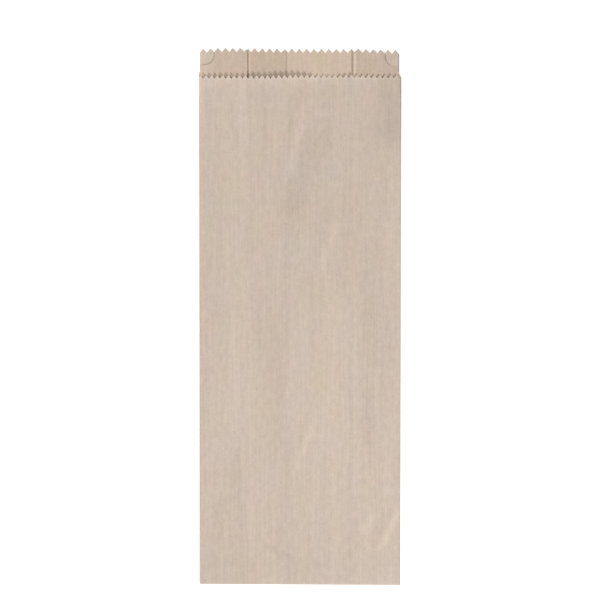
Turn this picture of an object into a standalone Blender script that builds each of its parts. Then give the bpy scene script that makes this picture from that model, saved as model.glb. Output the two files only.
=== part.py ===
"""A flat kraft paper bag with side gussets, folded and glued from one sheet of paper.

The bag lies on its back with its mouth towards +Y. X runs across it and Z up through its plies.
The sheet starts as a flat grid, and each point of the grid is carried to its place in the folded
bag: across it through the seam, the side folds and the gussets, and along it from the flap under
the back, round the bottom fold, to the mouth. Solidify then gives the sheet its thickness.
"""

import math
from typing import NamedTuple

import bmesh
import bpy

# The bag's sizes, in metres
LENGTH = 0.400
FRONT_WIDTH = 0.150
BACK_WIDTH = 0.148
GUSSET_DEPTH = 0.0356
LIP = 0.0198
FLAP = 0.030
SEAM_OVERLAP = 0.020
PAPER = 0.0001
PLY_PITCH = 0.0003

# The cut ends: the same knife makes the mouth of one bag and the flap of the next
BACK_TEETH = 27
FRONT_TEETH = 36
TOOTH_SLOPE = 0.62
CORNER_WIDTH = 0.012
CORNER_HEIGHT = 0.0094
CORNER_POWER = 3.0
STRIP_WIDTH = 0.0016
STRIP_DROP = 0.0047
FOLD_DROP = 0.0062

# How the paper lies: where a ply steps down beside another, and how the front panel sags and gapes
SEAM_CLEARANCE = 0.0005
SEAM_STEP = 0.0025
FLAP_EASE = 0.018
FRONT_SAG = 0.0003
SAG_RUN = 0.012
MOUTH_LIFT = 0.0024
MOUTH_RUN = 0.120

# The order of the plies, from the back panel up, and how finely curves are divided
BACK_LEVEL, GUSSET_BACK_LEVEL, GUSSET_FRONT_LEVEL, FRONT_LEVEL = range(4)
FOLD_STEPS = 4
BOTTOM_FOLD_STEPS = 6
CORNER_STEPS = 8
EASE_STEPS = 6
MOUTH_STEPS = 7
ROW_MARGIN = 0.0012
LEAST_STEP = 0.25
STRIP_STEP = 0.00015

PAPER_COLOUR = (0.61, 0.505, 0.42, 1.0)
PAPER_ROUGHNESS = 0.85

BACK_TOOTH = TOOTH_SLOPE * BACK_WIDTH / BACK_TEETH
FRONT_TOOTH = TOOTH_SLOPE * FRONT_WIDTH / FRONT_TEETH
FOLD_RADIUS = PLY_PITCH / 2
GUSSET_FOLD_X = FRONT_WIDTH / 2 - GUSSET_DEPTH
STACK = (FRONT_LEVEL + 1) * PLY_PITCH
BOTTOM_AXIS_Y = -LENGTH / 2 + STACK - FOLD_RADIUS + PAPER / 2
BOTTOM_AXIS_Z = STACK - FOLD_RADIUS + PAPER / 2
EASE_START = -LENGTH / 2 + FLAP - LIP + BACK_TOOTH + ROW_MARGIN
EASE_END = -LENGTH / 2 + FLAP + BACK_TOOTH + FLAP_EASE
FRONT_TIPS_Y = LENGTH / 2 - LIP


class Station(NamedTuple):
    """A column of the sheet: its place across the bag, its height over the back panel and its cut end."""

    x: float
    height: float
    cut: float
    on_front: bool


class Row(NamedTuple):
    """A row of the sheet. Its turn is 0 in the body and half a turn in the flap, and None is the cut end."""

    y: float | None
    turn: float


def smooth_step(share):
    """0 up to 0, 1 from 1, and a smooth rise between them."""
    share = min(max(share, 0.0), 1.0)
    return share * share * (3.0 - 2.0 * share)


def below_tips(x, width, teeth):
    """How far under its tips a knife cuts at x, with whole teeth across the width."""
    pitch = width / teeth
    phase = (x + width / 2) / pitch % 1.0
    return TOOTH_SLOPE * pitch * abs(2.0 * phase - 1.0)


def back_cut(x):
    """The mouth's edge on the back panel and on the gussets' back plies."""
    return LENGTH / 2 - below_tips(x, BACK_WIDTH, BACK_TEETH)


def front_cut(x):
    """The mouth's edge on the front panel."""
    return FRONT_TIPS_Y - below_tips(x, FRONT_WIDTH, FRONT_TEETH)


def corner_cut(from_fold):
    """The round corner of a gusset's front ply, with a narrow strip beside the side fold cut lower."""
    round_share = (1.0 - (from_fold / CORNER_WIDTH) ** CORNER_POWER) ** (1.0 / CORNER_POWER)
    corner = LENGTH / 2 - BACK_TOOTH - CORNER_HEIGHT * round_share
    if from_fold > STRIP_WIDTH:
        return corner
    return corner - FOLD_DROP - (STRIP_DROP - FOLD_DROP) * from_fold / STRIP_WIDTH


def tooth_places(start, end, width, teeth):
    """start, each tip and root of a knife's teeth between, and end. Those close to an end are left out."""
    half_pitch = width / teeth / 2
    low, high = sorted((start, end))
    first = math.ceil((low + width / 2) / half_pitch + LEAST_STEP)
    last = math.floor((high + width / 2) / half_pitch - LEAST_STEP)
    between = [count * half_pitch - width / 2 for count in range(first, last + 1)]
    return sorted([low, *between, high], reverse=start > end)


def back_ply(start, end, level):
    """A flat stretch of the back panel or of a gusset's back ply."""
    places = tooth_places(start, end, BACK_WIDTH, BACK_TEETH)
    return [Station(x, level * PLY_PITCH, back_cut(x), False) for x in places]


def gusset_front_ply():
    """A gusset's front ply on the right side, from its inner fold out past the rounded corner."""
    height = GUSSET_FRONT_LEVEL * PLY_PITCH
    stations = back_ply(GUSSET_FOLD_X + FOLD_RADIUS, FRONT_WIDTH / 2 - CORNER_WIDTH, GUSSET_FRONT_LEVEL)
    turns = [math.pi / 2 * step / CORNER_STEPS for step in range(CORNER_STEPS - 1, 0, -1)]
    from_folds = [CORNER_WIDTH * math.sin(turn) ** (2.0 / CORNER_POWER) for turn in turns]
    for from_fold in [*from_folds, STRIP_WIDTH + STRIP_STEP, STRIP_WIDTH]:
        stations.append(Station(FRONT_WIDTH / 2 - from_fold, height, corner_cut(from_fold), False))
    return stations


def fold(edge_x, lower_level, outward, low_cut, high_cut):
    """The rounded fold from one ply to the next above it, its outermost line at edge_x."""
    direction = 1.0 if outward else -1.0
    centre_x = edge_x - direction * FOLD_RADIUS
    stations = []
    for step in range(FOLD_STEPS + 1):
        share = step / FOLD_STEPS
        x = centre_x + direction * FOLD_RADIUS * math.sin(math.pi * share)
        rise = FOLD_RADIUS * (1.0 - math.cos(math.pi * share))
        cut = low_cut + (high_cut - low_cut) * share
        stations.append(Station(x, lower_level * PLY_PITCH + rise, cut, False))
    return stations


def right_side():
    """The right side's folds and gusset, from the back panel up to the front panel."""
    back_edge = BACK_WIDTH / 2 - PAPER / 2
    front_edge = FRONT_WIDTH / 2 - PAPER / 2
    back_fold_cut = back_cut(back_edge)
    gusset_fold_cut = back_cut(GUSSET_FOLD_X)
    back_fold = fold(back_edge, BACK_LEVEL, True, back_fold_cut, back_fold_cut)
    gusset_back = back_ply(back_edge - FOLD_RADIUS, GUSSET_FOLD_X + FOLD_RADIUS, GUSSET_BACK_LEVEL)
    gusset_fold = fold(GUSSET_FOLD_X, GUSSET_BACK_LEVEL, False, gusset_fold_cut, gusset_fold_cut)
    front_fold = fold(front_edge, GUSSET_FRONT_LEVEL, True, corner_cut(0.0), front_cut(front_edge))
    return back_fold + gusset_back[1:-1] + gusset_fold + gusset_front_ply()[1:] + front_fold


def mirrored(stations):
    """The same stations on the left side."""
    return [station._replace(x=-station.x) for station in stations]


def stations_across():
    """The sheet's columns, from the outer edge of the seam round the bag to its inner edge."""
    side = right_side()
    back_fold_x = side[0].x
    front_fold_x = side[-1].x
    seam_edge = SEAM_OVERLAP / 2
    step_top = seam_edge + SEAM_CLEARANCE
    outer_half = back_ply(seam_edge, -back_fold_x, BACK_LEVEL)
    front_places = tooth_places(-front_fold_x, front_fold_x, FRONT_WIDTH, FRONT_TEETH)
    front = [Station(x, FRONT_LEVEL * PLY_PITCH, front_cut(x), True) for x in front_places]
    inner_half = back_ply(back_fold_x, step_top + SEAM_STEP, BACK_LEVEL)
    over_seam = back_ply(step_top, -seam_edge, BACK_LEVEL + 1)
    return outer_half[:-1] + mirrored(side) + front[1:-1] + side[::-1] + inner_half[1:] + over_seam


def rows_along():
    """The sheet's rows, from the flap's cut end, under the bag and round the bottom fold, to the mouth's."""
    flap_row = -LENGTH / 2 + FLAP - LIP - ROW_MARGIN
    mouth_row = FRONT_TIPS_Y - FRONT_TOOTH - ROW_MARGIN
    mouth_start = FRONT_TIPS_Y - MOUTH_RUN
    rows = [Row(None, math.pi), Row(flap_row, math.pi)]
    for step in range(BOTTOM_FOLD_STEPS + 1):
        rows.append(Row(BOTTOM_AXIS_Y, math.pi * (1.0 - step / BOTTOM_FOLD_STEPS)))
    for step in range(EASE_STEPS + 1):
        rows.append(Row(EASE_START + (EASE_END - EASE_START) * step / EASE_STEPS, 0.0))
    for step in range(MOUTH_STEPS + 1):
        rows.append(Row(mouth_start + (mouth_row - mouth_start) * step / MOUTH_STEPS, 0.0))
    return [*rows, Row(None, 0.0)]


def over_flap(y):
    """How far the flap under the bag lifts the back panel."""
    return STACK * (1.0 - smooth_step((y - EASE_START) / (EASE_END - EASE_START)))


def front_sag(x, y):
    """How far the front panel sinks between the gussets, where fewer plies hold it up."""
    across = smooth_step((GUSSET_FOLD_X - abs(x)) / SAG_RUN)
    return FRONT_SAG * across * smooth_step((y - EASE_START) / (EASE_END - EASE_START))


def mouth_lift(x, y):
    """How far the front panel stands off the back panel at the mouth, between the gussets."""
    across = smooth_step(1.0 - abs(x) / GUSSET_FOLD_X)
    return MOUTH_LIFT * across * smooth_step((y - FRONT_TIPS_Y + MOUTH_RUN) / MOUTH_RUN)


def folded(station, row):
    """Where a point of the sheet lies in the folded bag."""
    if row.turn == 0.0:
        y = station.cut if row.y is None else row.y
        rise = mouth_lift(station.x, y) - front_sag(station.x, y) if station.on_front else 0.0
        return station.x, y, over_flap(y) + PAPER / 2 + station.height + rise
    radius = FOLD_RADIUS + station.height
    y = FLAP - LIP - station.cut if row.y is None else row.y
    return station.x, y - radius * math.sin(row.turn), BOTTOM_AXIS_Z + radius * math.cos(row.turn)


def folded_sheet():
    """The middle surface of the paper, as a grid folded into the bag."""
    across = stations_across()
    along = rows_along()
    sheet = bmesh.new()
    bmesh.ops.create_grid(sheet, x_segments=len(across) - 1, y_segments=len(along) - 1, size=1.0)
    for vertex in sheet.verts:
        column = round((vertex.co.x + 1.0) / 2.0 * (len(across) - 1))
        row = round((vertex.co.y + 1.0) / 2.0 * (len(along) - 1))
        vertex.co = folded(across[column], along[row])
    mesh = bpy.data.meshes.new("paper_bag")
    sheet.to_mesh(mesh)
    sheet.free()
    return mesh


def kraft_paper():
    """Plain brown kraft paper, uncoated."""
    material = bpy.data.materials.new("kraft_paper")
    material.use_nodes = True
    shader = material.node_tree.nodes["Principled BSDF"]
    shader.inputs["Base Color"].default_value = PAPER_COLOUR
    shader.inputs["Roughness"].default_value = PAPER_ROUGHNESS
    shader.inputs["Metallic"].default_value = 0.0
    return material


def build_bag():
    """The bag, as one object in its own collection."""
    mesh = folded_sheet()
    mesh.materials.append(kraft_paper())
    bag = bpy.data.objects.new("paper_bag", mesh)
    thickness = bag.modifiers.new("paper thickness", "SOLIDIFY")
    thickness.thickness = PAPER
    thickness.offset = 0.0
    collection = bpy.data.collections.new("folded paper bag")
    bpy.context.scene.collection.children.link(collection)
    collection.objects.link(bag)
    return bag


for old in list(bpy.data.objects):
    bpy.data.objects.remove(old, do_unlink=True)
build_bag()
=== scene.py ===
"""The looks of the flat kraft paper bag: the folded sheet in full detail, its paper, light and camera.

The sheet is folded here as the solid's is, from a flat grid whose every point is carried to its
place in the bag. The grid is finer, so the paper also has what the solid leaves out: the steps that
the plies underneath print through the front panel, cockles along the grain, soft creases, gussets that
stand up a little at the mouth, and a mouth that gapes unevenly. Its colour also carries painted light
and shade: painted highlights, painted shade and painted shadows along folds, the seam, the teeth, the
creases and the bag's sides. Lengths are in metres, in the solid's own frame: X across the bag, +Y
towards the mouth, +Z up through the plies.
"""

import math
from typing import NamedTuple

import bmesh
import bpy
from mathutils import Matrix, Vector, noise


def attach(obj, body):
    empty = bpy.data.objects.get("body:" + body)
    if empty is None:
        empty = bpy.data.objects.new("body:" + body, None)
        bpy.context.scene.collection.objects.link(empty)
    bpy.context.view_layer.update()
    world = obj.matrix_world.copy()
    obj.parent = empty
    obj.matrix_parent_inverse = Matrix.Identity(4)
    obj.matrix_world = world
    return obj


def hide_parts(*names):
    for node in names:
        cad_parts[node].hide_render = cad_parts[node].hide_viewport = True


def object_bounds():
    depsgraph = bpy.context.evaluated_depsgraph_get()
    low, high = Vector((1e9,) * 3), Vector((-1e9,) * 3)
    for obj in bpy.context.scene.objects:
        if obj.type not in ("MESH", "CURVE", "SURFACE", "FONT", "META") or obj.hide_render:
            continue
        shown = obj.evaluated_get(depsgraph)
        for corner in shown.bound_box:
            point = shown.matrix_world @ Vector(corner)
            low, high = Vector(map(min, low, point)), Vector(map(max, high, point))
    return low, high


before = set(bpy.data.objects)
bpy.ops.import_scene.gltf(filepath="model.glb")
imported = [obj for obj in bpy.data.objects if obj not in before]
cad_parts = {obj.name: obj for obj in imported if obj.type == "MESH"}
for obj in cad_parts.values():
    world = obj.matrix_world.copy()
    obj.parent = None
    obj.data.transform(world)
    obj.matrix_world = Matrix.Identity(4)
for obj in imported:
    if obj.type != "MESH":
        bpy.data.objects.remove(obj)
CAD_LOW, CAD_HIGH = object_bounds()
NODE = "paper_bag"


class Knife(NamedTuple):
    """A toothed knife: the pitch of its teeth and the place of one tooth's tip across the bag."""

    pitch: float
    tip: float


class Corner(NamedTuple):
    """The cut corner of a gusset's front ply: its width, the strip beside the fold that is cut lower,
    and how far that strip's ends lie below the gusset's teeth, at its inner side and at the fold."""

    width: float
    strip: float
    strip_drop: float
    fold_drop: float


class Crease(NamedTuple):
    """A soft crease of the front panel: its two ends, the widths of its right and left slopes, its rise,
    and how much paler its right slope is painted, a painted highlight."""

    start: Vector
    end: Vector
    right: float
    left: float
    rise: float
    tone: float


class ShadeMark(NamedTuple):
    """A long soft mark of painted light and shade on the front panel: its two ends, its half width and
    how pale it is.
    """

    start: Vector
    end: Vector
    width: float
    tone: float


class Grain(NamedTuple):
    """One layer of the paper's texture: the size of its spots on the flat sheet, their turn, how much
    fine detail they have, where in the noise they start, and how strong they are."""

    across: float
    along: float
    turn: float
    detail: float
    seed: float
    amount: float


# The bag's sizes: its length and width come from the solid, and the others are the solid's own to
# within a few tenths of a millimetre
LENGTH = round(CAD_HIGH.y - CAD_LOW.y, 6)
FRONT_WIDTH = round(CAD_HIGH.x - CAD_LOW.x, 6)
BACK_WIDTH = FRONT_WIDTH - 0.0023
BACK_SHIFT = -0.00045
GUSSET_DEPTH = 0.0358
LIP = 0.0198
FLAP = 0.030
SEAM_OVERLAP = 0.020
PAPER = 0.0001
PLY_PITCH = 0.0003

# The cut ends: the knives, the gussets' corners by side, how the front's and the back's cuts wander at
# places across the bag, and how far the front's right end is torn
BACK_KNIFE = Knife(0.00548, -0.0006)
FRONT_KNIFE = Knife(0.00415, 0.0009)
TOOTH_SLOPE = 0.62
CORNERS = {-1: Corner(0.0116, 0.0011, 0.0174, 0.0176), 1: Corner(0.0125, 0.0022, 0.0166, 0.0208)}
CORNER_HEIGHT = 0.0094
CORNER_POWER = 3.0
STRIP_STEP = 0.00015
FRONT_WANDER = ((-0.020, 0.0), (0.002, 0.0006), (0.038, 0.0006), (0.056, 0.0003))
BACK_WANDER = (
    (-0.072, -0.0002),
    (-0.060, 0.0003),
    (-0.036, 0.0003),
    (-0.010, 0.0001),
    (0.044, 0.0001),
    (0.058, -0.0003),
)
TORN_DEPTH = 0.0016
TORN_RUN = 0.0020
SKEW = 0.006

# How the plies lie. FOLD_STAND_SHARES gives the share of a gusset's stand at distances outwards from
# its inner fold
SEAM_CLEARANCE = 0.0005
SEAM_STEP = 0.0025
FLAP_EASE = 0.018
SEAM_PRESS = 0.00013
FRONT_SAG = 0.00035
SAG_RUN = 0.003
SEAM_PRINT = 0.00008
SEAM_PRINT_RUN = 0.003
MOUTH_RUN = 0.120
STAND_RUN = 0.030
STAND_POWER = 4
FOLD_STAND = 0.0007
FOLD_STAND_RUN = 0.050
FOLD_STAND_SHARES = ((-0.015, 0.0), (-0.005, 1.0), (0.002, 1.0), (0.027, 0.0))
CORNER_LIFT_RUN = 0.016
CORNER_LIFT_START = 0.004
WARP_HEIGHT = 0.0012
WARP_SIZE = (0.09, 0.16)
WARP_SEED = 3.7
COCKLE_HEIGHT = 0.00016
COCKLE_SIZE = (0.011, 0.110)
COCKLE_SEED = 9.1
COCKLE_MARGIN = 0.012

# Heights at places across the bag: how high the front panel stands at its tips, first what runs far
# down the panel and then what is near the mouth only, and how a gusset's cut corner lifts off its ply
GAPE = ((-0.045, 0.0), (-0.012, 0.0014), (-0.006, 0.0014), (0.018, 0.0))
STAND = (
    (-0.075, 0.0),
    (-0.071, 0.0017),
    (-0.040, 0.0017),
    (-0.030, 0.0011),
    (0.002, 0.0011),
    (0.016, 0.0001),
    (0.034, 0.0001),
    (0.044, 0.0007),
    (0.071, 0.0007),
    (0.075, 0.0),
)
CORNER_LIFT = (
    (-0.0745, 0.0),
    (-0.0694, 0.0004),
    (-0.0494, 0.0),
    (0.0494, 0.0),
    (0.0610, 0.0009),
    (0.0640, 0.0009),
    (0.0685, -0.00018),
)

# The soft creases of the front panel, and the soft marks of painted light and shade on it
CREASES = (
    Crease(Vector((0.0560, -0.1760)), Vector((0.0735, -0.1380)), 0.0050, 0.008, 0.0005, 0.06),
    Crease(Vector((0.0420, -0.1600)), Vector((0.0570, -0.1420)), 0.0060, 0.008, 0.0003, 0.05),
    Crease(Vector((-0.0080, -0.1180)), Vector((0.0115, -0.0720)), 0.0038, 0.009, 0.0005, 0.05),
    Crease(Vector((0.0125, 0.0340)), Vector((0.0265, 0.0780)), 0.0055, 0.009, 0.0004, 0.05),
    Crease(Vector((-0.0130, 0.1020)), Vector((0.0040, 0.1690)), 0.0055, 0.009, 0.0006, 0.06),
)
CREASE_FADE = 5.0
SHADE_MARKS = (
    ShadeMark(Vector((0.0140, 0.1330)), Vector((-0.0045, 0.0850)), 0.015, -0.06),
    ShadeMark(Vector((0.0660, 0.1860)), Vector((0.0660, 0.1400)), 0.015, -0.09),
    ShadeMark(Vector((0.0620, 0.1400)), Vector((0.0600, 0.0850)), 0.016, -0.03),
    ShadeMark(Vector((0.0470, 0.1500)), Vector((0.0480, -0.0950)), 0.008, -0.03),
    ShadeMark(Vector((0.0490, 0.0370)), Vector((0.0475, -0.0200)), 0.006, -0.03),
    ShadeMark(Vector((0.0510, -0.0570)), Vector((0.0510, -0.0890)), 0.006, -0.05),
    ShadeMark(Vector((-0.0425, 0.1700)), Vector((-0.0425, 0.0100)), 0.006, 0.03),
    ShadeMark(Vector((-0.0720, 0.0700)), Vector((-0.0720, -0.1100)), 0.014, 0.02),
    ShadeMark(Vector((-0.0600, -0.1380)), Vector((-0.0660, -0.1850)), 0.007, -0.05),
    ShadeMark(Vector((-0.0265, -0.1715)), Vector((-0.0055, -0.1795)), 0.004, -0.06),
    ShadeMark(Vector((-0.0480, -0.0060)), Vector((-0.0480, -0.0980)), 0.009, 0.035),
    ShadeMark(Vector((-0.0750, -0.1870)), Vector((0.0750, -0.1870)), 0.016, -0.03),
)

# How much paler or darker than its colour the paper is: at its outer side folds, painted shade at the right
# ones; on the gussets' front plies beside their inner folds, a painted highlight at the right one, with its
# share at distances from there; at their cut corners; on the front's teeth and in the strip under them, a
# painted highlight, with its share at places across; along the bag's two sides near the mouth, painted light
# on the left and painted shade on the right edges; round the bottom fold, painted shade; and in the two
# halves of the back
OUTER_FOLD_PAINTED_SHADE = {-1: 0.0, 1: -0.20}
INNER_FOLD_HIGHLIGHTS = {-1: 0.0, 1: 0.38}
INNER_FOLD_HIGHLIGHT_SHARES = ((0.0005, 0.0), (0.0012, 1.0), (0.0020, 0.0))
CORNER_TONES = {-1: 0.03, 1: -0.06}
TEETH_HIGHLIGHT = 0.12
TEETH_STRIP_HIGHLIGHT = 0.05
TEETH_HIGHLIGHT_RUN = 0.007
TEETH_HIGHLIGHT_SHARES = ((0.026, 1.0), (0.040, 0.2))
LEFT_SIDE_PAINTED_LIGHT = 0.18
LEFT_SIDE_WIDTH = 0.0055
RIGHT_EDGE_PAINTED_SHADE = -0.35
RIGHT_SIDE_WIDTH = 0.0011
SIDE_TONE_RUN = 0.060
BOTTOM_FOLD_PAINTED_SHADE = -0.10
LEFT_BACK_TONE = -0.02
RIGHT_BACK_TONE = 0.085

# Narrow painted lines: a painted highlight inside the back panel beside the left gusset, a painted shadow
# along the seam's inner edge, and the faint painted shade of the steps that the left gusset and the seam
# press through the front
BACK_HIGHLIGHT_X = -0.0374
BACK_HIGHLIGHT_WIDTH = 0.0009
BACK_HIGHLIGHT_TONE = 0.22
SEAM_SHADOW_WIDTH = 0.0012
SEAM_SHADOW_TONE = -0.17
FRONT_GUSSET_SHADE_X = -0.0376
FRONT_GUSSET_SHADE_RUN = 0.200
FRONT_GUSSET_SHADE_TONE = -0.055
FRONT_GUSSET_SHADE_WIDTH = 0.0022
FRONT_SEAM_SHADE_X = -0.0083
FRONT_SEAM_SHADE_TONE = -0.02
FRONT_SEAM_SHADE_WIDTH = 0.0014

# The order of the plies, from the back panel up, and how finely the sheet is divided. BESIDE_FOLD is how
# far from a fold the next column or row lies, and MOUTH_SPACING draws the rows together at the mouth
BACK_LEVEL, GUSSET_BACK_LEVEL, GUSSET_FRONT_LEVEL, FRONT_LEVEL = range(4)
BESIDE_FOLD = 0.0007
FRONT_PARTS = 2
BACK_PARTS = 1
FOLD_STEPS = 4
BOTTOM_FOLD_STEPS = 8
CORNER_STEPS = 8
TONGUE_STEPS = 6
BOTTOM_STEPS = 3
EASE_STEPS = 20
BODY_STEPS = 66
MOUTH_STEPS = 18
MOUTH_SPACING = 1.4
LIP_STEPS = 7
ROW_MARGIN = 0.0012
LEAST_STEP = 0.25
SHARP_ANGLE = math.radians(60)

BACK_TOOTH = TOOTH_SLOPE * BACK_KNIFE.pitch
FRONT_TOOTH = TOOTH_SLOPE * FRONT_KNIFE.pitch
FOLD_RADIUS = PLY_PITCH / 2
GUSSET_FOLD_X = FRONT_WIDTH / 2 - GUSSET_DEPTH
STACK = (FRONT_LEVEL + 1) * PLY_PITCH
BOTTOM_AXIS_Y = -LENGTH / 2 + STACK - FOLD_RADIUS + PAPER / 2
BOTTOM_AXIS_Z = STACK - FOLD_RADIUS + PAPER / 2
EASE_START = -LENGTH / 2 + FLAP - LIP + BACK_TOOTH + ROW_MARGIN
EASE_END = -LENGTH / 2 + FLAP + BACK_TOOTH + FLAP_EASE
FRONT_TIPS_Y = LENGTH / 2 - LIP
LAST_COMMON_Y = FRONT_TIPS_Y - FRONT_TOOTH - ROW_MARGIN
FLAP_COMMON_Y = -LENGTH / 2 + FLAP - LIP - ROW_MARGIN


class Station(NamedTuple):
    """A column of the sheet: its place across the bag, its level among the plies, its cut end, and
    how much paler than the paper's colour it is."""

    x: float
    level: float
    cut: float
    tone: float = 0.0


class Row(NamedTuple):
    """A row of the sheet: its place, its turn round the bottom fold and its share of the way to the cut."""

    y: float
    turn: float
    to_cut: float


def smooth_step(share):
    """0 up to 0, 1 from 1, and a smooth rise between them."""
    share = min(max(share, 0.0), 1.0)
    return share * share * (3.0 - 2.0 * share)


def along_line(points, x):
    """The height at x of a smooth line through points, each given as its place and its height. The line
    runs on level before its first point and after its last."""
    for (start, low), (end, high) in zip(points, points[1:]):
        if x <= end:
            return low + (high - low) * smooth_step((x - start) / (end - start))
    return points[-1][1]


def below_tips(x, knife):
    """How far under its tips a knife cuts at x."""
    phase = (x - knife.tip) / knife.pitch % 1.0
    return TOOTH_SLOPE * knife.pitch * (1.0 - abs(2.0 * phase - 1.0))


def back_cut(x):
    """The mouth's edge on the back panel and on the gussets' back plies, a little out of square."""
    return LENGTH / 2 - SKEW * x + along_line(BACK_WANDER, x) - below_tips(x, BACK_KNIFE)


def front_cut(x):
    """The mouth's edge on the front panel, wandering a little and torn lower at its right end."""
    torn = TORN_DEPTH * max(0.0, 1.0 - (FRONT_WIDTH / 2 - x) / TORN_RUN) ** 2
    return FRONT_TIPS_Y + along_line(FRONT_WANDER, x) - below_tips(x, FRONT_KNIFE) - torn


def corner_cut(x):
    """The mouth's edge on a gusset's front ply: a round corner, and a lower strip beside the side fold."""
    corner = CORNERS[round(math.copysign(1.0, x))]
    from_fold = FRONT_WIDTH / 2 - abs(x)
    tips = LENGTH / 2 - SKEW * x
    if from_fold < corner.strip:
        share = from_fold / corner.strip
        return tips - corner.fold_drop - (corner.strip_drop - corner.fold_drop) * share
    round_share = (1.0 - (from_fold / corner.width) ** CORNER_POWER) ** (1.0 / CORNER_POWER)
    return tips - BACK_TOOTH - CORNER_HEIGHT * round_share


def knife_places(start, end, knife, parts=1):
    """A knife's tips and roots between two places, with each flank in equal parts, in order from start."""
    step = knife.pitch / 2 / parts
    low, high = sorted((start, end))
    first = math.ceil((low - knife.tip) / step + LEAST_STEP)
    last = math.floor((high - knife.tip) / step - LEAST_STEP)
    places = [count * step + knife.tip for count in range(first, last + 1)]
    return places[::-1] if start > end else places


def back_ply(start, end, level, tone=0.0):
    """The columns between two places of the back panel or of a gusset's ply."""
    places = knife_places(start, end, BACK_KNIFE, BACK_PARTS)
    return [Station(x, level, back_cut(x), tone) for x in places]


def rounded_corner(side):
    """A gusset's front ply from the start of its round corner out to the lower strip beside the fold."""
    corner = CORNERS[side]
    turns = [math.pi / 2 * step / CORNER_STEPS for step in range(CORNER_STEPS - 1, 0, -1)]
    from_folds = [corner.width * math.sin(turn) ** (2.0 / CORNER_POWER) for turn in turns]
    from_folds += [corner.strip + STRIP_STEP, corner.strip - STRIP_STEP]
    places = [side * (FRONT_WIDTH / 2 - from_fold) for from_fold in from_folds]
    return [Station(x, GUSSET_FRONT_LEVEL, corner_cut(x), CORNER_TONES[side]) for x in places]


def fold(edge_x, lower_level, outward, cuts, tone=0.0):
    """The rounded fold from one ply to the next above it, its outermost line at edge_x. cuts gives the
    two plies' cut ends, and tone is the paleness painted along the fold, painted shade on the right outer
    folds."""
    low_cut, high_cut = cuts
    direction = math.copysign(1.0, edge_x) * (1.0 if outward else -1.0)
    centre_x = edge_x - direction * FOLD_RADIUS
    beside_x = centre_x - direction * BESIDE_FOLD
    stations = [Station(beside_x, lower_level, low_cut(beside_x))]
    for step in range(FOLD_STEPS + 1):
        share = step / FOLD_STEPS
        turn = math.pi * share
        level = lower_level + (1.0 - math.cos(turn)) / 2
        cut = low_cut(edge_x) * (1.0 - share) + high_cut(edge_x) * share
        x = centre_x + direction * FOLD_RADIUS * math.sin(turn)
        stations.append(Station(x, level, cut, tone))
    return stations + [Station(beside_x, lower_level + 1, high_cut(beside_x))]


def highlit_ply(side, fold_end):
    """The start of a gusset's front ply, with a painted highlight beside its inner fold."""
    places = [fold_end + side * distance for distance, _ in INNER_FOLD_HIGHLIGHT_SHARES]
    tones = [INNER_FOLD_HIGHLIGHTS[side] * share for _, share in INNER_FOLD_HIGHLIGHT_SHARES]
    return [Station(x, GUSSET_FRONT_LEVEL, back_cut(x), tone) for x, tone in zip(places, tones)]


def bag_side(side):
    """One side's folds and gusset, from the back panel up to the front panel. side is 1 or -1."""
    back_edge = BACK_SHIFT + side * (BACK_WIDTH / 2 - PAPER / 2)
    front_edge = side * (FRONT_WIDTH / 2 - PAPER / 2)
    # The outer folds carry painted shade on the right side
    tone = OUTER_FOLD_PAINTED_SHADE[side]
    back_fold = fold(back_edge, BACK_LEVEL, True, (back_cut, back_cut), tone)
    inner_fold = fold(side * GUSSET_FOLD_X, GUSSET_BACK_LEVEL, False, (back_cut, back_cut))
    front_fold = fold(front_edge, GUSSET_FRONT_LEVEL, True, (corner_cut, front_cut), tone)
    gusset_back = back_ply(back_fold[-1].x, inner_fold[0].x, GUSSET_BACK_LEVEL)
    # The ply with its painted highlight brings its own columns in place of the inner fold's last one
    inner_fold.pop()
    gusset_front = highlit_ply(side, inner_fold[-1].x)
    corner_x = side * (FRONT_WIDTH / 2 - CORNERS[side].width)
    gusset_front += back_ply(gusset_front[-1].x, corner_x, GUSSET_FRONT_LEVEL)
    corner = [Station(corner_x, GUSSET_FRONT_LEVEL, back_cut(corner_x)), *rounded_corner(side)]
    return back_fold + gusset_back + inner_fold + gusset_front + corner + front_fold


def painted_back_line(line_x, width, tone):
    """The columns of a narrow painted line inside the back panel's left half, from right to left."""
    tones = {line_x + width: 0.0, line_x: tone, line_x - width: 0.0}
    return [Station(x, BACK_LEVEL, back_cut(x), LEFT_BACK_TONE + own) for x, own in tones.items()]


def left_back_half(outer_x):
    """The back panel from the seam's outer edge to the left side."""
    seam_edge = SEAM_OVERLAP / 2
    # A painted shadow along the seam's inner edge
    seam_shadow = painted_back_line(-seam_edge, SEAM_SHADOW_WIDTH, SEAM_SHADOW_TONE)
    # A painted highlight beside the left gusset's inner fold
    highlight_line = painted_back_line(BACK_HIGHLIGHT_X, BACK_HIGHLIGHT_WIDTH, BACK_HIGHLIGHT_TONE)
    half = [Station(seam_edge, BACK_LEVEL, back_cut(seam_edge), LEFT_BACK_TONE)]
    half += back_ply(seam_edge, seam_shadow[0].x, BACK_LEVEL, LEFT_BACK_TONE) + seam_shadow
    half += back_ply(seam_shadow[-1].x, highlight_line[0].x, BACK_LEVEL, LEFT_BACK_TONE) + highlight_line
    return half + back_ply(highlight_line[-1].x, outer_x, BACK_LEVEL, LEFT_BACK_TONE)


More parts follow.
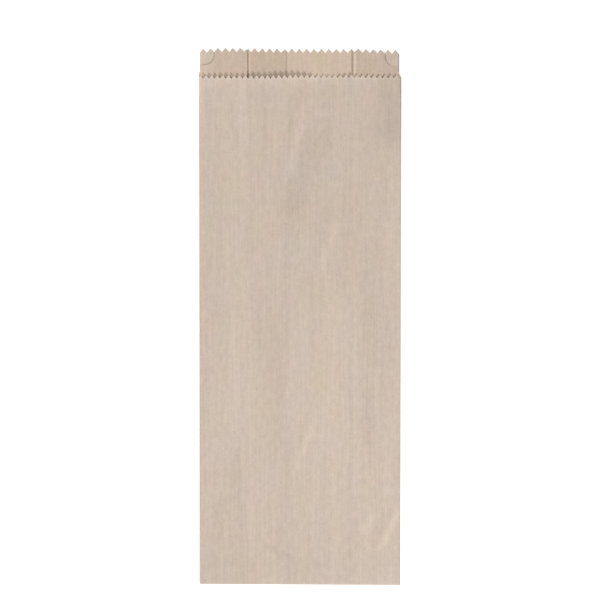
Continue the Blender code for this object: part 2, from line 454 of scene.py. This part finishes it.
def right_back_half(outer_x):
    """The back panel from the right side to the seam, where it steps up onto the other half."""
    seam_edge = SEAM_OVERLAP / 2
    step_top = seam_edge + SEAM_CLEARANCE
    step_foot = step_top + SEAM_STEP
    tone = RIGHT_BACK_TONE
    half = back_ply(outer_x, step_foot, BACK_LEVEL, tone)
    half.append(Station(step_foot, BACK_LEVEL, back_cut(step_foot), tone))
    half.append(Station(step_top, BACK_LEVEL + 1, back_cut(step_top), tone))
    line_x = SEAM_SHADOW_WIDTH - seam_edge
    half += back_ply(step_top, line_x, BACK_LEVEL + 1, tone)
    half.append(Station(line_x, BACK_LEVEL + 1, back_cut(line_x), tone))
    # The seam's inner edge carries a painted shadow
    return half + [Station(-seam_edge, BACK_LEVEL + 1, back_cut(-seam_edge), tone + SEAM_SHADOW_TONE)]


def stations_across():
    """The sheet's columns, from the outer edge of the seam round the bag to its inner edge."""
    left = bag_side(-1)
    right = bag_side(1)
    front_places = knife_places(left[-1].x, right[-1].x, FRONT_KNIFE, FRONT_PARTS)
    front = [Station(x, FRONT_LEVEL, front_cut(x)) for x in front_places]
    return left_back_half(left[0].x) + left + front + right[::-1] + right_back_half(right[0].x)


def evenly(start, end, steps):
    """The places that divide a stretch in equal steps, both ends included."""
    return [start + (end - start) * step / steps for step in range(steps + 1)]


def rows_along():
    """The sheet's rows, from the flap's cut end, under the bag and round the bottom fold, to the mouth's."""
    beside_bottom = BOTTOM_AXIS_Y + BESIDE_FOLD
    mouth_start = FRONT_TIPS_Y - MOUTH_RUN / 2
    rows = [Row(FLAP_COMMON_Y, math.pi, share) for share in evenly(1.0, 0.0, TONGUE_STEPS)]
    rows.append(Row(beside_bottom, math.pi, 0.0))
    rows += [Row(BOTTOM_AXIS_Y, turn, 0.0) for turn in evenly(math.pi, 0.0, BOTTOM_FOLD_STEPS)]
    rows += [Row(y, 0.0, 0.0) for y in evenly(beside_bottom, EASE_START, BOTTOM_STEPS)]
    rows += [Row(y, 0.0, 0.0) for y in evenly(EASE_START, EASE_END, EASE_STEPS)[1:]]
    rows += [Row(y, 0.0, 0.0) for y in evenly(EASE_END, mouth_start, BODY_STEPS)[1:]]
    mouth_shares = [1.0 - (1.0 - share) ** MOUTH_SPACING for share in evenly(0.0, 1.0, MOUTH_STEPS)[1:]]
    rows += [Row(mouth_start + (LAST_COMMON_Y - mouth_start) * share, 0.0, 0.0) for share in mouth_shares]
    return rows + [Row(LAST_COMMON_Y, 0.0, share) for share in evenly(0.0, 1.0, LIP_STEPS)[1:]]


def clear_of_flap(y):
    """0 over the flap and 1 in the body."""
    return smooth_step((y - EASE_START) / (EASE_END - EASE_START))


def over_flap(y):
    """How far the flap under the bag lifts the back panel."""
    return STACK * (1.0 - clear_of_flap(y))


def near_mouth(y, run):
    """0 further than run below the front panel's tips, and 1 from the tips on."""
    return smooth_step((y - FRONT_TIPS_Y + run) / run)


def wave(x, y, size, seed):
    """A smooth wave between 0 and 1, with hills about as wide and as long as size says."""
    across, along = size
    return 0.5 + 0.5 * noise.noise(Vector((x / across, y / along, seed)))


def body_wave(x, y):
    """The slow warp of the whole bag, which all its plies share."""
    return WARP_HEIGHT * wave(x, y, WARP_SIZE, WARP_SEED) * clear_of_flap(y)


def seam_press(x):
    """How much closer to the outer half the glue holds the inner half of the back panel."""
    return SEAM_PRESS * smooth_step((SEAM_OVERLAP / 2 + SEAM_STEP - abs(x)) / SEAM_STEP)


def gusset_stand(x, y):
    """How far a gusset's inner fold stands off the back panel near the mouth."""
    share = along_line(FOLD_STAND_SHARES, abs(x) - GUSSET_FOLD_X)
    return FOLD_STAND * share * near_mouth(y, FOLD_STAND_RUN)


def corner_lift(x, y):
    """How far the cut corner of a gusset's front ply lifts from the ply under it."""
    share = (y - FRONT_TIPS_Y + CORNER_LIFT_START) / CORNER_LIFT_RUN
    return along_line(CORNER_LIFT, x) * smooth_step(share)


def crease_place(crease, x, y):
    """A point's distance from a crease's line, counted to its right, and how strong the crease is there."""
    along = crease.end - crease.start
    point = Vector((x, y)) - crease.start
    share = point.dot(along) / along.length_squared
    strength = smooth_step(share * CREASE_FADE) * smooth_step((1.0 - share) * CREASE_FADE)
    return point.cross(along) / along.length, strength


def crease_rise(crease, x, y):
    """How high a soft crease stands at a point."""
    across, strength = crease_place(crease, x, y)
    width = crease.right if across > 0.0 else crease.left
    return crease.rise * strength * (1.0 - smooth_step(abs(across) / width))


def crease_highlight(crease, x, y):
    """How much paler the painted highlight on a soft crease's right slope makes a point."""
    across, strength = crease_place(crease, x, y)
    from_middle = abs(across - crease.right / 2)
    return crease.tone * strength * (1.0 - smooth_step(from_middle / crease.right))


def front_rise(x, y):
    """How the front panel lies over the gussets and gapes at the mouth."""
    curl = min(max((y - FRONT_TIPS_Y) / STAND_RUN + 1.0, 0.0), 1.0) ** STAND_POWER
    sag = FRONT_SAG * smooth_step((GUSSET_FOLD_X - abs(x)) / SAG_RUN) * clear_of_flap(y)
    past_seam = abs(x) - SEAM_OVERLAP / 2
    seam = SEAM_PRINT * smooth_step(0.5 - past_seam / SEAM_PRINT_RUN)
    gape = along_line(GAPE, x) * near_mouth(y, MOUTH_RUN)
    stand = along_line(STAND, x) * curl
    at_side = smooth_step((FRONT_WIDTH / 2 - abs(x)) / COCKLE_MARGIN)
    cockle = COCKLE_HEIGHT * wave(x, y, COCKLE_SIZE, COCKLE_SEED) * at_side
    creases = sum(crease_rise(crease, x, y) for crease in CREASES)
    return gape + stand + seam - sag + cockle + creases


def lift(x, y, level):
    """How far a point of the sheet lies above its place in a bag pressed quite flat."""
    stands = (gusset_stand(x, y) - seam_press(x)) * min(level, 1.0)
    corner = corner_lift(x, y) * min(max(level - 1.0, 0.0), 1.0)
    front = (front_rise(x, y) + seam_press(x)) * min(max(level - 2.0, 0.0), 1.0)
    return body_wave(x, y) + stands + corner + front


def lying_y(station, row):
    """The place along the bag of a point above the bottom fold, before the bag is out of square."""
    return row.y + (station.cut - row.y) * row.to_cut


def flap_y(station, row):
    """The place along the bag of a point of the flap, or of the bottom fold before its turn."""
    return row.y + (FLAP - LIP - station.cut - row.y) * row.to_cut


def folded(station, row):
    """Where a point of the sheet lies in the folded bag."""
    height = station.level * PLY_PITCH
    if row.turn == 0.0:
        y = lying_y(station, row)
        raised = lift(station.x, y, station.level)
        out_of_square = SKEW * station.x * max(0.0, FRONT_TIPS_Y - y) / LENGTH
        return station.x, y - out_of_square, over_flap(y) + PAPER / 2 + height + raised
    radius = FOLD_RADIUS + height
    y = flap_y(station, row) - SKEW * station.x
    return station.x, y - radius * math.sin(row.turn), BOTTOM_AXIS_Z + radius * math.cos(row.turn)


def shade_mark_tone(mark, x, y):
    """How much paler a mark of painted light and shade makes a point."""
    along = mark.end - mark.start
    point = Vector((x, y)) - mark.start
    share = min(max(point.dot(along) / along.length_squared, 0.0), 1.0)
    distance = (point - share * along).length
    return mark.tone * (1.0 - smooth_step(distance / mark.width))


def painted_step_shade(x, y):
    """The faint painted shade along the steps that the left gusset and the seam press through the front
    panel.
    """
    gusset = max(0.0, 1.0 - abs(x - FRONT_GUSSET_SHADE_X) / FRONT_GUSSET_SHADE_WIDTH)
    seam = max(0.0, 1.0 - abs(x - FRONT_SEAM_SHADE_X) / FRONT_SEAM_SHADE_WIDTH)
    return FRONT_GUSSET_SHADE_TONE * gusset * near_mouth(y, FRONT_GUSSET_SHADE_RUN) + FRONT_SEAM_SHADE_TONE * seam


def teeth_highlight(station, row):
    """How much paler the front panel's teeth and the strip under them are: a painted highlight."""
    share = smooth_step((row.y - LAST_COMMON_Y) / TEETH_HIGHLIGHT_RUN + 1.0)
    strip = TEETH_STRIP_HIGHLIGHT * share * along_line(TEETH_HIGHLIGHT_SHARES, station.x)
    return strip + TEETH_HIGHLIGHT * row.to_cut


def side_light_and_shade(station, y):
    """How much paler the bag's left side is near the mouth, and how much darker its right edges are: painted
    light and painted shade.
    """
    from_left = FRONT_WIDTH / 2 + station.x
    on_front = station.level > GUSSET_BACK_LEVEL
    from_right = (FRONT_WIDTH / 2 if on_front else BACK_SHIFT + BACK_WIDTH / 2) - station.x
    left = LEFT_SIDE_PAINTED_LIGHT * max(0.0, 1.0 - from_left / LEFT_SIDE_WIDTH)
    right = RIGHT_EDGE_PAINTED_SHADE * max(0.0, 1.0 - abs(from_right) / RIGHT_SIDE_WIDTH)
    return (left + right) * near_mouth(y, SIDE_TONE_RUN)


def paper_tone(station, row):
    """How much paler than its colour the paper is at a point of the sheet, painted light and shade included.
    """
    if row.turn > 0.0:
        # Painted shade round the bottom fold, strongest where it turns side-on
        return station.tone + BOTTOM_FOLD_PAINTED_SHADE * math.sin(row.turn)
    y = lying_y(station, row)
    side = side_light_and_shade(station, y)
    if station.level < FRONT_LEVEL:
        return station.tone + side
    # Painted light and shade on the front: the soft marks, the creases' and teeth's painted highlights, the
    # steps' painted shade
    painted_marks = sum(shade_mark_tone(mark, station.x, y) for mark in SHADE_MARKS)
    creases = sum(crease_highlight(crease, station.x, y) for crease in CREASES)
    marks = painted_marks + creases + painted_step_shade(station.x, y) + teeth_highlight(station, row)
    return station.tone + side + marks


def flat_across(stations):
    """Each column's place across the flat sheet, measured along the folded one."""
    places = [0.0]
    for before, after in zip(stations, stations[1:]):
        rise = (after.level - before.level) * PLY_PITCH
        places.append(places[-1] + math.hypot(after.x - before.x, rise))
    return places


def flat_along(station, row):
    """A point's place along the flat sheet, from the tips of the flap's tongue."""
    if row.turn == 0.0:
        return FLAP + LENGTH / 2 + lying_y(station, row)
    return FLAP - (flap_y(station, row) + LENGTH / 2) * math.copysign(1.0, row.turn - math.pi / 2)


def folded_sheet():
    """The middle surface of the paper, as a grid folded into the bag, with its flat layout as UV map."""
    across = stations_across()
    along = rows_along()
    flat_places = flat_across(across)
    sheet = bmesh.new()
    bmesh.ops.create_grid(sheet, x_segments=len(across) - 1, y_segments=len(along) - 1, size=1.0)
    flat = []
    tones = []
    for vertex in sheet.verts:
        column = round((vertex.co.x + 1.0) / 2.0 * (len(across) - 1))
        row = round((vertex.co.y + 1.0) / 2.0 * (len(along) - 1))
        vertex.co = folded(across[column], along[row])
        flat.append((flat_places[column], flat_along(across[column], along[row])))
        tones.append(paper_tone(across[column], along[row]))
    mesh = bpy.data.meshes.new("folded sheet")
    sheet.to_mesh(mesh)
    sheet.free()
    layout = mesh.uv_layers.new(name="flat sheet")
    for corner in mesh.loops:
        layout.data[corner.index].uv = flat[corner.vertex_index]
    mesh.attributes.new("tone", "FLOAT", "POINT").data.foreach_set("value", tones)
    mesh.shade_smooth()
    return mesh


def thickened(sheet):
    """The sheet with the paper's thickness. Its cut edges stay sharp in the smooth shading."""
    plain = bpy.data.objects.new("folded sheet", sheet)
    bpy.context.scene.collection.objects.link(plain)
    thickness = plain.modifiers.new("paper thickness", "SOLIDIFY")
    thickness.thickness = PAPER
    thickness.offset = 0.0
    thickness.material_offset = 1
    thickness.material_offset_rim = 2
    graph = bpy.context.evaluated_depsgraph_get()
    mesh = bpy.data.meshes.new_from_object(plain.evaluated_get(graph))
    mesh.set_sharp_from_angle(angle=SHARP_ANGLE)
    bpy.data.objects.remove(plain)
    return mesh


# The paper: its colours outside, inside and where it is cut, the layers of its grain, the noise levels
# between which its pale and dark fibres appear, and how its hue drifts over the sheet
OUTSIDE = (0.61, 0.505, 0.42)
INSIDE = (0.597, 0.472, 0.372)
CUT_EDGE = (0.66, 0.57, 0.49)
GRAINS = (
    Grain(0.018, 0.160, 0.0, 1.0, 2.4, 0.13),
    Grain(0.0016, 0.050, 0.0, 2.0, 5.1, 0.16),
    Grain(0.0040, 0.0060, 0.0, 4.0, 7.7, 0.22),
    Grain(0.0012, 0.0016, 0.0, 2.0, 2.9, 0.16),
)
MEAN_SHADE = sum(grain.amount for grain in GRAINS) / 2
PALE_FIBRES = Grain(0.00018, 0.0016, 0.6, 1.0, 4.4, 0.05)
PALE_LEVELS = (0.62, 0.72)
DARK_FIBRES = Grain(0.00018, 0.0018, -0.5, 1.0, 8.8, -0.06)
DARK_LEVELS = (0.66, 0.74)
HUE_DRIFTS = (
    (Grain(0.022, 0.030, 0.0, 1.0, 6.2, 1.0), Vector((0.0, 0.0, -0.06))),
    (Grain(0.018, 0.024, 0.0, 1.0, 3.6, 1.0), Vector((0.03, -0.015, 0.0))),
)
GRAIN_ROUGHNESS = 0.55
BUMP_STRENGTH = 0.35
BUMP_HEIGHT = 0.0004
PAPER_ROUGHNESS = 0.85
PAPER_SPECULAR = 0.25


class PaperNodes:
    """A short way to add and link nodes in a material or in the world."""

    def __init__(self, tree):
        self.tree = tree

    def add(self, kind, inputs, **settings):
        node = self.tree.nodes.new(kind)
        for name, value in settings.items():
            setattr(node, name, value)
        for name, value in inputs.items():
            if isinstance(value, bpy.types.NodeSocket):
                self.tree.links.new(value, node.inputs[name])
            else:
                node.inputs[name].default_value = value
        return node

    def math(self, operation, first, second):
        node = self.add("ShaderNodeMath", {0: first, 1: second}, operation=operation)
        return node.outputs[0]

    def vector(self, operation, inputs):
        node = self.add("ShaderNodeVectorMath", inputs, operation=operation)
        return node.outputs[0]

    def spots(self, grain):
        """Noise on the flat sheet, with the spots that a layer of grain describes."""
        flat = self.add("ShaderNodeUVMap", {}, uv_map="flat sheet").outputs["UV"]
        turned = self.add("ShaderNodeVectorRotate", {"Vector": flat, "Angle": grain.turn}).outputs[0]
        start = (grain.seed, grain.seed, 0.0)
        scale = (1 / grain.across, 1 / grain.along, 1.0)
        placed = self.add("ShaderNodeMapping", {"Vector": turned, "Location": start, "Scale": scale})
        look = {"Scale": 1.0, "Detail": grain.detail, "Roughness": GRAIN_ROUGHNESS}
        inputs = {"Vector": placed.outputs[0], **look}
        return self.add("ShaderNodeTexNoise", inputs, noise_dimensions="2D").outputs["Fac"]

    def layer(self, grain):
        """A layer of grain at its own strength."""
        return self.math("MULTIPLY", self.spots(grain), grain.amount)

    def fibres(self, grain, levels):
        """Fibres at their own strength where the noise is high, and nothing elsewhere."""
        low, high = levels
        share = self.add(
            "ShaderNodeMapRange", {"Value": self.spots(grain), "From Min": low, "From Max": high}
        )
        return self.math("MULTIPLY", share.outputs[0], grain.amount)


def kraft_paper(name, colour):
    """Uncoated kraft paper: streaks along the machine's run, cloudy mottle, and pale and dark fibres."""
    material = bpy.data.materials.new(name)
    material.use_nodes = True
    nodes = PaperNodes(material.node_tree)
    shader = material.node_tree.nodes["Principled BSDF"]
    shade = nodes.fibres(PALE_FIBRES, PALE_LEVELS)
    shade = nodes.math("ADD", shade, nodes.fibres(DARK_FIBRES, DARK_LEVELS))
    for grain in GRAINS:
        shade = nodes.math("ADD", shade, nodes.layer(grain))
    # The tone attribute carries the painted light and shade with the other tones set on the sheet
    tone = nodes.add("ShaderNodeAttribute", {}, attribute_name="tone").outputs["Fac"]
    strength = nodes.math("ADD", nodes.math("ADD", shade, tone), 1.0 - MEAN_SHADE)
    hue = Vector(colour) - sum((drift / 2 for _, drift in HUE_DRIFTS), Vector())
    for grain, drift in HUE_DRIFTS:
        hue = nodes.vector("MULTIPLY_ADD", {0: nodes.spots(grain), 1: drift, 2: hue})
    tinted = nodes.vector("SCALE", {0: hue, "Scale": strength})
    material.node_tree.links.new(tinted, shader.inputs["Base Color"])
    bump = nodes.add("ShaderNodeBump", {"Height": shade, "Strength": BUMP_STRENGTH, "Distance": BUMP_HEIGHT})
    material.node_tree.links.new(bump.outputs[0], shader.inputs["Normal"])
    shader.inputs["Roughness"].default_value = PAPER_ROUGHNESS
    shader.inputs["Specular IOR Level"].default_value = PAPER_SPECULAR
    return material


def build_bag():
    """The bag in full detail, in place of the plain solid."""
    sheet = folded_sheet()
    sheet.materials.append(kraft_paper("kraft outside", OUTSIDE))
    sheet.materials.append(kraft_paper("kraft inside", INSIDE))
    sheet.materials.append(kraft_paper("kraft cut edge", CUT_EDGE))
    bag = bpy.data.objects.new("kraft_bag", thickened(sheet))
    bpy.context.scene.collection.objects.link(bag)
    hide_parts(NODE)
    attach(bag, "root")


# The studio: the floor's own shade and the glow that lifts it to white for the camera, which is stronger
# far out where the lamps don't reach, the even fill, the lamps' places, sizes and powers, and the camera
FLOOR_SHADE = 0.80
FLOOR_ROUGHNESS = 0.9
FLOOR_GLOW = 0.55
FAR_FLOOR_GLOW = 0.80
GLOW_START = 0.4
GLOW_END = 1.4
FLOOR_SIZE = 6.0
FLOOR_GAP = 0.0002
FILL = 0.28
UPPER_LEFT = (-0.60, 0.50, 0.80)
UPPER_LEFT_SIZE = 0.35
UPPER_LEFT_POWER = 5.2
LOWER_RIGHT = (0.76, -0.84, 0.79)
LOWER_RIGHT_SIZE = 0.30
LOWER_RIGHT_POWER = 13.8
CAMERA_LEAN = math.radians(2.6)
CAMERA_AIM = Vector((-0.0001, 0.0135, 0.0))
CAMERA_DISTANCE = 1.5
CAMERA_LENS = 120.7
SENSOR_WIDTH = 36.0


def seen_rays(nodes):
    """1 for the rays by which the camera sees a thing, also by mirror or through glass, and 0 for others."""
    path = nodes.add("ShaderNodeLightPath", {})
    rays = nodes.math("MAXIMUM", path.outputs["Is Camera Ray"], path.outputs["Is Glossy Ray"])
    return nodes.math("MAXIMUM", rays, path.outputs["Is Transmission Ray"])


def build_floor():
    """A pale floor that the camera sees as white, with the bag's shadow kept on it."""
    bpy.ops.mesh.primitive_plane_add(size=FLOOR_SIZE, location=(0.0, 0.0, -FLOOR_GAP))
    floor = bpy.context.object
    floor.name = "studio_floor"
    material = bpy.data.materials.new("studio floor")
    material.use_nodes = True
    tree = material.node_tree
    nodes = PaperNodes(tree)
    shader = tree.nodes["Principled BSDF"]
    shader.inputs["Base Color"].default_value = (FLOOR_SHADE, FLOOR_SHADE, FLOOR_SHADE, 1.0)
    shader.inputs["Roughness"].default_value = FLOOR_ROUGHNESS
    shader.inputs["Specular IOR Level"].default_value = 0.0
    place = nodes.add("ShaderNodeNewGeometry", {}).outputs["Position"]
    distance = nodes.add("ShaderNodeVectorMath", {0: place}, operation="LENGTH").outputs["Value"]
    reach = {
        "Value": distance,
        "From Min": GLOW_START,
        "From Max": GLOW_END,
        "To Min": FLOOR_GLOW,
        "To Max": FAR_FLOOR_GLOW,
    }
    strength = nodes.add("ShaderNodeMapRange", reach).outputs[0]
    lifted = nodes.math("MULTIPLY", seen_rays(nodes), strength)
    glow = nodes.add("ShaderNodeEmission", {"Color": (1.0, 1.0, 1.0, 1.0), "Strength": lifted})
    both = nodes.add("ShaderNodeAddShader", {0: shader.outputs[0], 1: glow.outputs[0]})
    tree.links.new(both.outputs[0], tree.nodes["Material Output"].inputs["Surface"])
    floor.data.materials.append(material)


def build_world():
    """Even fill light, with white behind the floor for what the camera sees."""
    world = bpy.data.worlds.new("studio")
    bpy.context.scene.world = world
    world.use_nodes = True
    tree = world.node_tree
    nodes = PaperNodes(tree)
    strength = nodes.math("ADD", nodes.math("MULTIPLY", seen_rays(nodes), 1.0 - FILL), FILL)
    tree.links.new(strength, tree.nodes["Background"].inputs["Strength"])
    tree.nodes["Background"].inputs["Color"].default_value = (1.0, 1.0, 1.0, 1.0)


def softbox(name, place, size, power):
    """A square soft lamp at a place, turned to the middle of the bag."""
    light = bpy.data.lights.new(name, "AREA")
    light.size = size
    light.energy = power
    lamp = bpy.data.objects.new(name, light)
    lamp.location = place
    lamp.rotation_euler = (-Vector(place)).to_track_quat("-Z", "Y").to_euler()
    bpy.context.scene.collection.objects.link(lamp)


def build_camera():
    """The photograph's view: from straight above, leaning a little towards the mouth."""
    camera = bpy.data.cameras.new("camera")
    camera.lens = CAMERA_LENS
    camera.sensor_width = SENSOR_WIDTH
    seat = bpy.data.objects.new("camera", camera)
    back = Vector((0.0, math.sin(CAMERA_LEAN), math.cos(CAMERA_LEAN)))
    seat.location = CAMERA_AIM + CAMERA_DISTANCE * back
    seat.rotation_euler = (-CAMERA_LEAN, 0.0, 0.0)
    bpy.context.scene.collection.objects.link(seat)
    bpy.context.scene.camera = seat


build_bag()
build_floor()
build_world()
softbox("upper left softbox", UPPER_LEFT, UPPER_LEFT_SIZE, UPPER_LEFT_POWER)
softbox("lower right softbox", LOWER_RIGHT, LOWER_RIGHT_SIZE, LOWER_RIGHT_POWER)
build_camera()
bpy.context.scene.view_settings.view_transform = "Standard"
